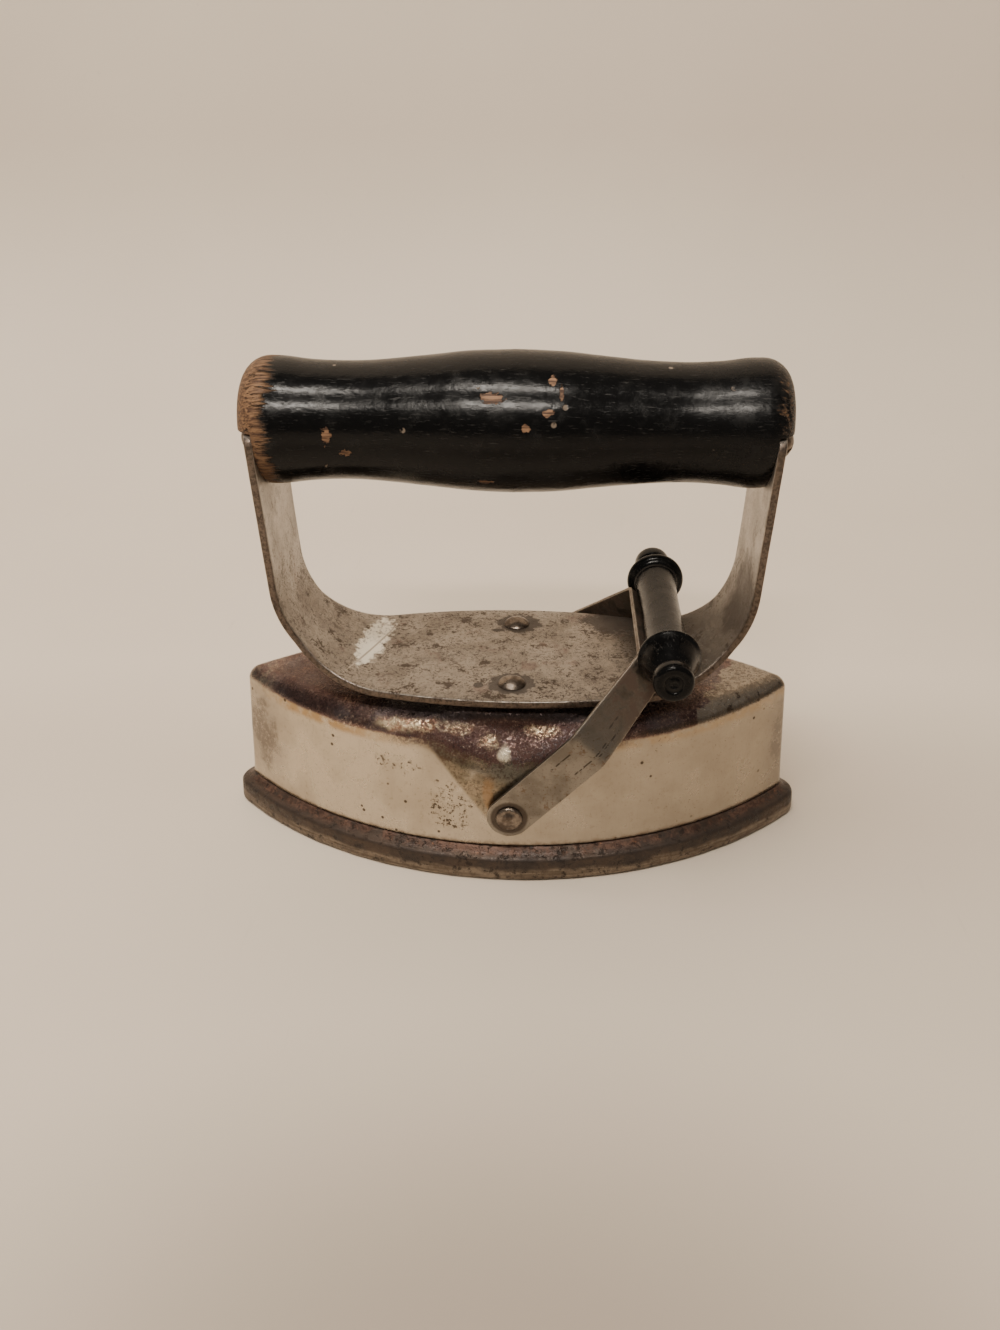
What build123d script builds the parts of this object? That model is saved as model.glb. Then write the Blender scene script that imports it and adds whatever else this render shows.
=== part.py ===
from build123d import *
import os
from math import cos, radians, sin, tan

# Clothes iron: a cast core with two points under a lift-off sheet hood. The hood carries the grip on
# a strap and the bail, whose pins turn latch keys in the sides of the core.
# Origin: centre of the sole. +X runs along the iron, +Y across it, +Z up. Millimetres.

os.makedirs("parts", exist_ok=True)

# Cast core
base_half_length = 76.0
base_half_width = 35.2
base_tip = 6.0
flange_side = 6.5
flange_top = 8.3
ledge_width = 3.2
core_half_length = 66.5
core_half_width = 27.2
core_tip = 5.0
core_top = 31.0
core_draft = 2.4

# Sheet hood
sheet = 0.9
hood_rim = 8.6
hood_top = 41.4
hood_half_length = 72.0
hood_half_width = 32.0
hood_rim_tip = 4.0
hood_top_tip = 5.6
hood_draft = 1.6
shoulder = 5.0

# V-shaped flute in the middle of each long side of the hood, deepening towards the shoulder
flute_foot = 10.0
flute_head = 43.0
flute_steps = 6
flute_spread = 0.62
flute_depth = 3.4
flute_span = 24.0

# Insulation inside the hood
liner = 1.5
liner_gap = 0.1
side_liner_height = 16.0
plate = 0.5

# Handle strap
strap = 1.9
strap_bottom = 44.2
strap_end = 107.0
strap_reach = 60.3
strap_lean = 3.0
strap_bend = 26.0
strap_middle = 25.4
strap_leg = 14.15
leg_start = 53.5

# Rivets through the strap
rivet_y = 16.5
rivet_radius = 1.8
rivet_head = 3.5
washer = 0.8

# Grip
grip_height = 106.5
grip_half_length = 62.5
screw_height = 102.4
screw_radius = 1.7
screw_head = 4.5
screw_rise = 4.4
screw_length = 20.0

# Bail and its latch keys
pivot_height = 18.2
bail_lean = 43.7
bail_sheet = 1.1
bail_width = 11.0
bail_side = 33.6
bail_kink = 27.0
web_corner = 19.2
web_width = 9.0
web_height = 49.0
pin_radius = 1.6
key_radius = 4.0
key_flats = 4.0
key_inner = 24.0
key_outer = 27.6
socket_radius = 4.4
slot_width = 5.0
socket_floor = 23.6
running_gap = 0.05

# Spool
spool_height = 53.7
spool_half_length = 35.2
spool_flange = 7.55
spool_screw_y = 11.0
spool_screw_radius = 1.3


def lens(half_length, half_width, tip):
    """Boat-shaped face: two side arcs joined by a small round tip at each end."""
    reach = half_length - tip
    side = (reach**2 / (half_width - tip) + half_width + tip) / 2
    touch_x = reach * side / (side - tip)
    touch_y = (side - half_width) * tip / (side - tip)
    with BuildSketch(mode=Mode.PRIVATE) as outline:
        with BuildLine():
            ThreePointArc((-touch_x, touch_y), (0, half_width), (touch_x, touch_y))
            ThreePointArc((touch_x, touch_y), (half_length, 0), (touch_x, -touch_y))
            ThreePointArc((touch_x, -touch_y), (0, -half_width), (-touch_x, -touch_y))
            ThreePointArc((-touch_x, -touch_y), (-half_length, 0), (-touch_x, touch_y))
        make_face()
    return outline.sketch


def flutes(grow):
    """The pair of V-shaped flute cutters, widened and deepened by grow."""
    with BuildPart(mode=Mode.PRIVATE) as cutter:
        for step in range(flute_steps + 1):
            rise = (flute_head - flute_foot) * (step / flute_steps) ** 0.7
            height = flute_foot + rise
            wall = hood_half_width - hood_draft * (height - hood_rim) / (hood_top - hood_rim)
            half = 0.8 + flute_spread * rise + grow
            deep = 0.05 + flute_depth * (rise / flute_span) ** 4 + grow
            with BuildSketch(Plane.XY.offset(height)):
                Polygon(
                    (0, wall - deep),
                    (half, wall),
                    (half, wall + 9),
                    (-half, wall + 9),
                    (-half, wall),
                    align=None,
                )
        loft(ruled=True)
        mirror(about=Plane.XZ)
    return cutter.part


def hood_form(inset):
    """Solid inside the hood's outer skin moved inwards by inset."""
    with BuildPart(mode=Mode.PRIVATE) as form:
        with BuildSketch(Plane.XY.offset(hood_rim)):
            add(lens(hood_half_length - inset, hood_half_width - inset, hood_rim_tip - inset))
        with BuildSketch(Plane.XY.offset(hood_top - inset)):
            top_length = hood_half_length - hood_draft - inset
            top_width = hood_half_width - hood_draft - inset
            add(lens(top_length, top_width, hood_top_tip - inset))
        loft(ruled=True)
        fillet(form.faces().sort_by(Axis.Z)[-1].edges(), shoulder - inset)
        add(flutes(inset), mode=Mode.SUBTRACT)
    return form.part


def turned_fastener(head, rise, rim, shank, length):
    """Domed head on +Z with its seat at Z = 0, and a plain shank below it."""
    with BuildPart(mode=Mode.PRIVATE) as turned:
        with BuildSketch(Plane.XZ):
            with BuildLine():
                Polyline((0, rise), (0, -length), (shank, -length), (shank, 0), (head, 0), (head, rim))
                TangentArc((0, rise), (head, rim), tangent=(1, 0))
            make_face()
        revolve(axis=Axis.Z)
    return turned.part


# Cast core: flange with a sloped ledge, and a drafted block with two side keyways
with BuildPart() as iron_core:
    with BuildSketch():
        add(lens(base_half_length, base_half_width, base_tip))
    extrude(amount=flange_side)
    fillet(iron_core.faces().sort_by(Axis.Z)[0].edges(), 0.6)
    with BuildSketch(Plane.XY.offset(flange_side)):
        add(lens(base_half_length, base_half_width, base_tip))
    with BuildSketch(Plane.XY.offset(flange_top)):
        add(lens(base_half_length - 4.0, base_half_width - ledge_width, base_tip - 1.8))
    loft(ruled=True)
    with BuildSketch(Plane.XY.offset(flange_top)):
        add(lens(core_half_length, core_half_width, core_tip))
    with BuildSketch(Plane.XY.offset(core_top)):
        add(lens(core_half_length - core_draft, core_half_width - core_draft, core_tip))
    loft(ruled=True)
    fillet(iron_core.faces().sort_by(Axis.Z)[-1].edges(), 2.0)
    for side in (-1, 1):
        with Locations((0, side * (socket_floor + 4), pivot_height)):
            Cylinder(socket_radius, 8, rotation=(90, 0, 0), mode=Mode.SUBTRACT)
            Box(
                slot_width,
                8,
                core_top,
                align=(Align.CENTER, Align.CENTER, Align.MIN),
                mode=Mode.SUBTRACT,
            )

# Hood: drafted sheet shell, open below, with holes for the pivot pins and the strap rivets
with BuildPart() as hood_shell:
    add(hood_form(0))
    add(hood_form(sheet), mode=Mode.SUBTRACT)
    with Locations((0, 0, pivot_height)):
        Cylinder(pin_radius + running_gap, 80, rotation=(90, 0, 0), mode=Mode.SUBTRACT)
    with Locations((0, rivet_y, hood_top), (0, -rivet_y, hood_top)):
        Cylinder(rivet_radius + running_gap, 6, mode=Mode.SUBTRACT)

# Insulating sheet around the walls
side_skin = sheet + liner_gap
with BuildPart() as side_liner:
    add(hood_form(side_skin))
    add(hood_form(side_skin + liner), mode=Mode.SUBTRACT)
    with Locations((0, 0, hood_rim + 1)):
        Box(160, 80, side_liner_height, align=(Align.CENTER, Align.CENTER, Align.MIN), mode=Mode.INTERSECT)
    with Locations((0, 0, pivot_height)):
        Cylinder(pin_radius + 1.4, 80, rotation=(90, 0, 0), mode=Mode.SUBTRACT)

# Insulating sheet under the top, and the tin plate that carries it
top_liner_top = hood_top - sheet - liner_gap
plate_top = top_liner_top - liner - liner_gap
stack = [(0, rivet_y, hood_top), (0, -rivet_y, hood_top)]
with BuildPart() as top_liner:
    with BuildSketch(Plane.XY.offset(top_liner_top - liner)):
        add(lens(62.7, 20.6, 5.0))
    extrude(amount=liner)
    with Locations(stack):
        Cylinder(rivet_radius + 0.2, 30, mode=Mode.SUBTRACT)
with BuildPart() as liner_plate:
    with BuildSketch(Plane.XY.offset(plate_top - plate)):
        add(lens(62.2, 20.2, 5.0))
    extrude(amount=plate)
    with Locations(stack):
        Cylinder(rivet_radius + 0.2, 30, mode=Mode.SUBTRACT)

# Handle strap: bent in side view, then trimmed to its plan outline
strap_foot = strap_reach - (strap_end - strap_bottom) * tan(radians(strap_lean))
with BuildPart() as handle_strap:
    with BuildSketch(Plane.XZ):
        with BuildLine():
            FilletPolyline(
                (-strap_reach, strap_end),
                (-strap_foot, strap_bottom),
                (strap_foot, strap_bottom),
                (strap_reach, strap_end),
                radius=strap_bend,
            )
            offset(amount=strap, side=Side.LEFT)
        make_face()
    extrude(amount=strap_middle + 1, both=True)
    with BuildSketch(Plane.XY.offset(strap_bottom - 1)):
        with BuildLine():
            ThreePointArc((-leg_start, strap_leg), (0, strap_middle), (leg_start, strap_leg))
            Polyline(
                (leg_start, strap_leg),
                (leg_start + 8, strap_leg),
                (leg_start + 8, -strap_leg),
                (leg_start, -strap_leg),
            )
            ThreePointArc((leg_start, -strap_leg), (0, -strap_middle), (-leg_start, -strap_leg))
            Polyline(
                (-leg_start, -strap_leg),
                (-leg_start - 8, -strap_leg),
                (-leg_start - 8, strap_leg),
                (-leg_start, strap_leg),
            )
        make_face()
    extrude(amount=strap_end - strap_bottom + 2, mode=Mode.INTERSECT)
    end_edges = handle_strap.edges().filter_by(
        lambda edge: edge.center().Z > strap_end - 0.5 and abs(edge.center().Y) > strap_leg - 0.1
    )
    fillet(end_edges, 3.0)
    with Locations(stack):
        Cylinder(rivet_radius + running_gap, 30, mode=Mode.SUBTRACT)

# Rivets, spacers and washers that join the strap, the hood and the liner plate
rivet_tail = plate_top - plate - washer
with BuildPart() as strap_rivet_front:
    with Locations((0, -rivet_y, strap_bottom + strap)):
        add(turned_fastener(rivet_head, 2.0, 0.3, rivet_radius, strap_bottom + strap - rivet_tail))
    with Locations((0, -rivet_y, rivet_tail)):
        Cone(1.4, rivet_radius + 0.6, 1.0, align=(Align.CENTER, Align.CENTER, Align.MAX))
with BuildPart() as strap_spacer_front:
    with Locations((0, -rivet_y, hood_top)):
        Cylinder(4.0, strap_bottom - hood_top, align=(Align.CENTER, Align.CENTER, Align.MIN))
        Cylinder(rivet_radius + running_gap, 20, mode=Mode.SUBTRACT)
with BuildPart() as rivet_washer_front:
    with Locations((0, -rivet_y, plate_top - plate)):
        Cylinder(4.5, washer, align=(Align.CENTER, Align.CENTER, Align.MAX))
        Cylinder(rivet_radius + running_gap, 20, mode=Mode.SUBTRACT)

# Grip: turned profile, with the lower half of each end notched for the strap's leg
screw_x = strap_reach - (strap_end - screw_height) * tan(radians(strap_lean))
screw_axes = [
    Plane(
        origin=(side * screw_x, 0, screw_height),
        x_dir=(0, 1, 0),
        z_dir=(side * cos(radians(strap_lean)), 0, -sin(radians(strap_lean))),
    )
    for side in (-1, 1)
]
notch_top = strap_reach - strap / cos(radians(strap_lean)) - 0.05
notch_drop = 22.0
notch_foot = notch_top - notch_drop * tan(radians(strap_lean))
with BuildPart() as grip:
    with BuildSketch(Plane.XZ):
        with BuildLine():
            Line((-grip_half_length, 0), (grip_half_length, 0))
            Line((grip_half_length, 0), (grip_half_length, 8.2))
            Spline(
                (54, 14.75),
                (39, 13.6),
                (20, 14.9),
                (0, 16.3),
                (-20, 14.9),
                (-39, 13.6),
                (-54, 14.75),
                tangents=[(-1, 0), (-1, 0)],
            )
            Line((54, 14.75), (56.0, 14.75))
            Line((-54, 14.75), (-56.0, 14.75))
            TangentArc((56.0, 14.75), (grip_half_length, 8.2), tangent=(1, 0))
            TangentArc((-56.0, 14.75), (-grip_half_length, 8.2), tangent=(-1, 0))
            Line((-grip_half_length, 8.2), (-grip_half_length, 0))
        make_face()
    revolve(axis=Axis.X)
    with BuildSketch(Plane.XZ) as notches:
        with BuildLine():
            Polyline(
                (notch_top, strap_end - grip_height + 0.1),
                (grip_half_length + 4, strap_end - grip_height + 0.1),
                (grip_half_length + 4, strap_end - grip_height - notch_drop),
                (notch_foot, strap_end - grip_height - notch_drop),
                close=True,
            )
        make_face()
        mirror(about=Plane.YZ)
    extrude(amount=20, both=True, mode=Mode.SUBTRACT)
grip_part = Pos(0, 0, grip_height) * grip.part
with BuildPart() as bored_grip:
    add(grip_part)
    with Locations(screw_axes):
        Cylinder(screw_radius + running_gap, 2 * (screw_length + 0.5), mode=Mode.SUBTRACT)

# Round-head screws through the legs into the ends of the grip
with BuildPart() as grip_screw_right:
    with Locations(screw_axes[1]):
        add(turned_fastener(screw_head, screw_rise, 0.6, screw_radius, screw_length))
    with Locations(screw_axes[1].offset(screw_rise)):
        Box(1.0, 12, 1.8, mode=Mode.SUBTRACT)
with BuildPart() as drilled_strap:
    add(handle_strap.part)
    with Locations(screw_axes):
        Cylinder(screw_radius + running_gap, 12, mode=Mode.SUBTRACT)

# Bail, made upright about its pivot axis: strip bent in end view, rounded at the pivots
with BuildPart() as bail_strap:
    with BuildSketch(Plane.YZ):
        with BuildLine():
            FilletPolyline(
                (-bail_side, -8),
                (-bail_side, bail_kink),
                (-web_corner, web_height),
                (web_corner, web_height),
                (bail_side, bail_kink),
                (bail_side, -8),
                radius=[6.0, 3.0, 3.0, 6.0],
            )
            offset(amount=bail_sheet, side=Side.RIGHT)
        make_face()
    extrude(amount=bail_width / 2, both=True)
    with BuildSketch(Plane.XZ):
        Circle(bail_width / 2)
        Rectangle(bail_width, bail_kink, align=(Align.CENTER, Align.MIN))
        Polygon(
            (-bail_width / 2, bail_kink),
            (bail_width / 2, bail_kink),
            (web_width / 2, web_height + 1),
            (-web_width / 2, web_height + 1),
            align=None,
        )
    extrude(amount=bail_side + 1, both=True, mode=Mode.INTERSECT)
    Cylinder(pin_radius + running_gap, 80, rotation=(90, 0, 0), mode=Mode.SUBTRACT)
    with Locations((0, spool_screw_y, web_height), (0, -spool_screw_y, web_height)):
        Cylinder(spool_screw_radius + running_gap, 6, mode=Mode.SUBTRACT)

# Spool: turned barrel between two flanges, a cone and a nub at each end, flat seat on the web
seat = web_height + 0.05 - spool_height
with BuildPart() as spool:
    with BuildSketch(Plane.YZ):
        with BuildLine():
            ThreePointArc((0, 4.9), (12, 5.05), (20.0, 5.4))
            TangentArc((20.0, 5.4), (21.3, 6.5), tangent=(1, 0.4))
            ThreePointArc((21.3, 6.5), (22.3, spool_flange), (23.5, 6.9))
            ThreePointArc((23.5, 6.9), (26.5, 5.6), (29.6, 4.0))
            ThreePointArc((29.6, 4.0), (30.4, 3.8), (31.0, 4.4))
            Line((31.0, 4.4), (33.9, 4.7))
            ThreePointArc((33.9, 4.7), (34.9, 4.3), (spool_half_length, 3.4))
            Polyline((spool_half_length, 3.4), (spool_half_length, 0), (0, 0), (0, 4.9))
        make_face()
    revolve(axis=Axis.Y)
    mirror(about=Plane.XZ)
    with Locations((0, 0, seat)):
        Box(
            2 * bail_width,
            2 * web_corner + 2,
            10,
            align=(Align.CENTER, Align.CENTER, Align.MAX),
            mode=Mode.SUBTRACT,
        )
    with Locations((0, spool_screw_y, seat), (0, -spool_screw_y, seat)):
        Cylinder(spool_screw_radius + running_gap, 10, mode=Mode.SUBTRACT)

with BuildPart() as spool_screw_front:
    with Locations(Plane((0, -spool_screw_y, web_height - bail_sheet), z_dir=(0, 0, -1))):
        add(turned_fastener(2.4, 1.3, 0.3, spool_screw_radius, bail_sheet + 4.5))

# Pivot pin and its latch key. The key stands upright at rest, whatever the lean of the bail.
with BuildPart() as pivot_pin_front:
    with Locations(Plane((0, -bail_side, 0), z_dir=(0, -1, 0))):
        add(turned_fastener(3.4, 1.5, 0.3, pin_radius, bail_side - key_inner - 0.6))
with BuildPart() as latch_key_front:
    with Locations(Plane((0, -key_inner, 0), z_dir=(0, -1, 0))):
        Cylinder(
            key_radius, key_outer - key_inner, align=(Align.CENTER, Align.CENTER, Align.MIN)
        )
    Box(key_flats, 80, 3 * key_radius, mode=Mode.INTERSECT)
    with Locations(Plane((0, -key_inner - 0.5, 0), z_dir=(0, -1, 0))):
        Cylinder(
            pin_radius + running_gap,
            10,
            align=(Align.CENTER, Align.CENTER, Align.MIN),
            mode=Mode.SUBTRACT,
        )

leaning = Pos(0, 0, pivot_height) * Rot(0, bail_lean, 0)
pieces = {
    "iron_core": iron_core.part,
    "hood_shell": hood_shell.part,
    "side_liner": side_liner.part,
    "top_liner": top_liner.part,
    "liner_plate": liner_plate.part,
    "handle_strap": drilled_strap.part,
    "strap_rivet_front": strap_rivet_front.part,
    "strap_rivet_back": strap_rivet_front.part.mirror(Plane.XZ),
    "strap_spacer_front": strap_spacer_front.part,
    "strap_spacer_back": strap_spacer_front.part.mirror(Plane.XZ),
    "rivet_washer_front": rivet_washer_front.part,
    "rivet_washer_back": rivet_washer_front.part.mirror(Plane.XZ),
    "grip": bored_grip.part,
    "grip_screw_left": grip_screw_right.part.mirror(Plane.YZ),
    "grip_screw_right": grip_screw_right.part,
    "bail_strap": leaning * bail_strap.part,
    "spool": leaning * Pos(0, 0, spool_height) * spool.part,
    "spool_screw_front": leaning * spool_screw_front.part,
    "spool_screw_back": leaning * spool_screw_front.part.mirror(Plane.XZ),
    "pivot_pin_front": leaning * pivot_pin_front.part,
    "pivot_pin_back": leaning * pivot_pin_front.part.mirror(Plane.XZ),
    "latch_key_front": Pos(0, 0, pivot_height) * latch_key_front.part,
    "latch_key_back": Pos(0, 0, pivot_height) * latch_key_front.part.mirror(Plane.XZ),
}
for name, piece in pieces.items():
    piece.label = name
    export_step(piece, f"parts/{name}.step")
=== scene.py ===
import math
import bpy
import bmesh
from mathutils import Matrix, Vector, noise


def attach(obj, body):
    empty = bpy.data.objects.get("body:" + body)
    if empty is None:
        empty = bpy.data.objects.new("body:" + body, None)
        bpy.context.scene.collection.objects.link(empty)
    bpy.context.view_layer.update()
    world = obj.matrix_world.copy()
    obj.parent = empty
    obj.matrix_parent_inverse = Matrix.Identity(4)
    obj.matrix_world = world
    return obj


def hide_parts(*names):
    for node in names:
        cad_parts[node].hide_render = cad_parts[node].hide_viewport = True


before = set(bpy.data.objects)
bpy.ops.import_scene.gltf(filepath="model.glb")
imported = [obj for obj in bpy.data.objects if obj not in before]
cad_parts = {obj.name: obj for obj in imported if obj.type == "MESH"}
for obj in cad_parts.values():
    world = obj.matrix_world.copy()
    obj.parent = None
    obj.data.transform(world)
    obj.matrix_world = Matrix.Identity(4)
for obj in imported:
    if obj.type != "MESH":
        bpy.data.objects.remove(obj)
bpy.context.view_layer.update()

# Lengths are in millimetres unless a line says otherwise.
MM = 0.001  # one millimetre in Blender's metres
MERGE = 0.000001  # metres between vertices that are taken as one
PIVOT = Vector((0, 0, 18.2))  # middle of the two pivot pins
LEAN = math.radians(43.7)  # how far the resting bail leans to the right

SOLE_LENS = (76, 35.2, 6)  # half length, half width and tip radius
BLOCK_LENS = (66.5, 27.2, 5)
BLOCK_DRAFT, BLOCK_TOP = 2.4, 31
SOCKET_RADIUS = 4.4  # for the latch keys

HOOD_RIM, HOOD_TOP = 8.6, 41.4
HOOD_LENS = ((72, 2.1), (32, 1.6), (4, 0.8))  # as SOLE_LENS at the rim, each with its loss up to the top
HOOD_SHEET = 0.9
PIN_HOLE = 1.66  # radius
CREASE_START = math.radians(15)  # tilt of the shoulder's roll where it leaves the wall

STRAP_SHEET = 1.9
STRAP_REACH = 60.3  # outer face of a leg at the strap's top, from the middle
STRAP_TOP, STRAP_BOTTOM = 107, 44.2
STRAP_BEND = 26  # radius of the outer face
STRAP_LEAN = math.radians(3)  # of a leg, outwards
STRAP_HALF_WIDTH = 25.4  # at the middle
STRAP_WAIST, STRAP_NARROWING = 53.5, 11.25  # where the width stops shrinking, and by how much
STRAP_CORNER = 3  # rounded corners at the top

RIVET_Y = 16.5

GRIP_AXIS, GRIP_END = 106.5, 62.5
GRIP_SCREW_Z = 102.4
NOTCH_Z = 107.12  # top of the notch that takes a leg

BAIL_SHEET = 1.1
BAIL_REACH = 33.6  # outer face of an arm, from the middle
BAIL_HALF_WIDTH = 5.5
BAIL_KNEE = 27  # height above the pivot where an arm starts to lean in
BAIL_WEB, BAIL_TOP = 19.2, 49  # half length and height of the web's outer face
SPOOL_AXIS = 53.7  # height above the pivot
SPOOL_SCREW_Y = 11


# ------------------------ mesh helpers

BOX_FACES = [(0, 1, 3, 2), (4, 6, 7, 5), (0, 4, 5, 1), (2, 3, 7, 6), (0, 2, 6, 4), (1, 5, 7, 3)]


def wave(point, size, seed=0):
    """Smooth noise from -1 to 1 at a point, with features about size across."""
    return noise.noise(Vector(point) / size + Vector((seed, seed * 0.7, seed * 1.3)))


def turns(*degrees):
    """(sine, cosine) of each angle."""
    return [(math.sin(math.radians(a)), math.cos(math.radians(a))) for a in degrees]


def link(name, data):
    """New object in the scene."""
    thing = bpy.data.objects.new(name, data)
    bpy.context.scene.collection.objects.link(thing)
    return thing


def mesh_object(name, vertices, faces):
    mesh = bpy.data.meshes.new(name)
    mesh.from_pydata([tuple(Vector(v) * MM) for v in vertices], [], faces)
    return link(name, mesh)


def solid(name, vertices, faces, merge):
    """Closed mesh object with its faces turned outwards, its double vertices merged if asked."""
    thing = mesh_object(name, vertices, faces)
    work = bmesh.new()
    work.from_mesh(thing.data)
    if merge:
        bmesh.ops.remove_doubles(work, verts=work.verts, dist=MERGE)
    bmesh.ops.recalc_face_normals(work, faces=work.faces)
    work.to_mesh(thing.data)
    work.free()
    return thing


def dress(piece, material, smooth_angle=35):
    """Gives the piece its one material and smooth shading up to an angle between faces."""
    piece.data.materials.clear()
    piece.data.materials.append(material)
    for polygon in piece.data.polygons:
        polygon.use_smooth = True
        polygon.material_index = 0
    piece.data.set_sharp_from_angle(angle=math.radians(smooth_angle))


def carve(piece, cutters):
    """Cuts solids, given as (vertices, faces), out of the piece."""
    for vertices, faces in cutters:
        cutter = solid("cutter", vertices, faces, merge=False)
        cut = piece.modifiers.new("cut", "BOOLEAN")
        cut.operation = "DIFFERENCE"
        cut.solver = "EXACT"
        cut.object = cutter
        bpy.context.view_layer.update()
        graph = bpy.context.evaluated_depsgraph_get()
        result = bpy.data.meshes.new_from_object(piece.evaluated_get(graph))
        piece.modifiers.clear()
        old = piece.data
        piece.data = result
        bpy.data.meshes.remove(old)
        bpy.data.objects.remove(cutter)


def make_piece(name, shape, body, node, material, smooth_angle, cutters=()):
    """Makes a piece from (vertices, faces), rides it on its body and hides the CAD node it stands for."""
    piece = solid(name, *shape, merge=True)
    dress(piece, material, smooth_angle)
    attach(piece, body)
    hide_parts(node)
    if cutters:
        carve(piece, cutters)
        dress(piece, material, smooth_angle)
    return piece


def loft(rings):
    """(vertices, faces) of a closed solid through rings with equal numbers of points."""
    size = len(rings[0])
    faces = []
    for low in range(0, (len(rings) - 1) * size, size):
        for k in range(size):
            n = (k + 1) % size
            faces.append((low + k, low + n, low + size + n, low + size + k))
    last = (len(rings) - 1) * size
    faces += [tuple(range(size)), tuple(range(last, last + size))]
    return [point for ring in rings for point in ring], faces


def prism(outline, low, high):
    """Closed solid from an outline in x and z, drawn out along y from low to high."""
    return loft([[(x, y, z) for x, z in outline] for y in (low, high)])


def box(place, *ranges):
    """Box with its corners at place(a, b, c), where a, b and c take both ends of their ranges."""
    first, second, third = ranges
    return [place(a, b, c) for a in first for b in second for c in third], BOX_FACES


def lathe(profile, segments, to_world, ripple):
    """Turned solid from a profile of (along, radius). to_world maps (along, u, v) to a point."""
    rings = []
    for along, radius in profile:
        ring = []
        for k in range(segments):
            angle = 2 * math.pi * k / segments
            u, v = math.cos(angle), math.sin(angle)
            r = radius + ripple(along, radius, u, v)
            ring.append(to_world(along, r * u, r * v))
        rings.append(ring)
    return loft(rings)


def roughen(rings, lengthways, move):
    """Moves each point outwards and up by what move(point) says, out by only a share lengthways."""
    for ring in rings:
        for k, (x, y, z) in enumerate(ring):
            away = Vector((x * lengthways, y, 0)).normalized()
            push, lift = move((x, y, z))
            ring[k] = (x + away.x * push, y + away.y * push, z + lift)


def strip_ring(half_width, trim, sheet, count, face, corner):
    """Ring across a strip: one face at a depth, the corners beside it, and both turned half round."""
    first = [(-half_width + trim + 2 * (half_width - trim) * k / count, face) for k in range(count + 1)]
    first += corner
    return first + [(-y, sheet - depth) for y, depth in first]


def circle(centre_z, radius, stop, steps):
    """Points of x and z on a circle over the middle, from 0 to stop degrees, both included."""
    spokes = turns(*(stop * k / steps for k in range(steps + 1)))
    return [(radius * c, centre_z + radius * s) for s, c in spokes]


def smooth_curve(knots, steps):
    """Points on a Catmull-Rom curve through 2-D knots."""
    points = []
    last = len(knots) - 1
    for i in range(last):
        a, b, c, d = (Vector(knots[min(max(n, 0), last)]) for n in range(i - 1, i + 3))
        for k in range(steps):
            t = k / steps
            p = 0.5 * (2 * b + (c - a) * t + (2 * a - 5 * b + 4 * c - d) * t * t
                       + (3 * b - a - 3 * c + d) * t * t * t)
            points.append((p.x, p.y))
    points.append(tuple(knots[-1]))
    return points


def side_radius(half_length, half_width, tip):
    """Radius of a boat's long side, an arc that runs into both tips."""
    return ((half_length - tip)**2 / (half_width - tip) + half_width + tip) / 2


def lens_point(half_length, half_width, tip, side_steps, tip_steps, k):
    """Point k of a boat-shaped ring: far side, right tip, near side, left tip."""
    half = side_steps + tip_steps
    sign = 1 if k < half else -1
    k %= half
    reach = half_length - tip
    side = side_radius(half_length, half_width, tip)
    drop = side - half_width
    spread = math.atan2(reach, drop)
    if k < side_steps:
        a = -spread + 2 * spread * k / side_steps
        return sign * side * math.sin(a), sign * (side * math.cos(a) - drop)
    a = spread + (math.pi - 2 * spread) * (k - side_steps) / tip_steps
    return sign * (reach + tip * math.sin(a)), sign * tip * math.cos(a)


def leaning(along, across, up):
    """Turns a point of the upright bail about its pivot axis to where it rests."""
    x = along * math.cos(LEAN) + up * math.sin(LEAN)
    z = -along * math.sin(LEAN) + up * math.cos(LEAN)
    return (PIVOT.x + x, across, PIVOT.z + z)


# ------------------------ material helpers

class Value:
    """A number that a node puts out. Arithmetic on it adds maths nodes to its paint."""

    def __init__(self, paint, socket):
        self.paint = paint
        self.socket = socket

    def __add__(self, other):
        return self.paint.math("ADD", self, other)

    def __sub__(self, other):
        return self.paint.math("SUBTRACT", self, other)

    def __mul__(self, other):
        return self.paint.math("MULTIPLY", self, other)

    def __pow__(self, other):
        return self.paint.math("POWER", self, other)

    def __abs__(self):
        return self.paint.math("ABSOLUTE", self, 0)

    def step(self, low, high):
        """0 below low, 1 above high, smooth between. low may be above high to turn it over."""
        node = self.paint.node("MapRange")
        node.interpolation_type = "SMOOTHSTEP"
        values = {"Value": self, "From Min": low, "From Max": high}
        if low >= high:
            values = {"Value": self, "From Min": high, "From Max": low, "To Min": 1, "To Max": 0}
        for key, value in values.items():
            self.paint.feed(node.inputs[key], value)
        return Value(self.paint, node.outputs[0])


class Colour(Value):
    """A colour that more coats can be laid over."""

    def add(self, share, coat):
        """Lays a coat over the colour so far, by a share from 0 to 1."""
        self.socket = self.paint.mix(share, self, coat).socket


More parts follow.
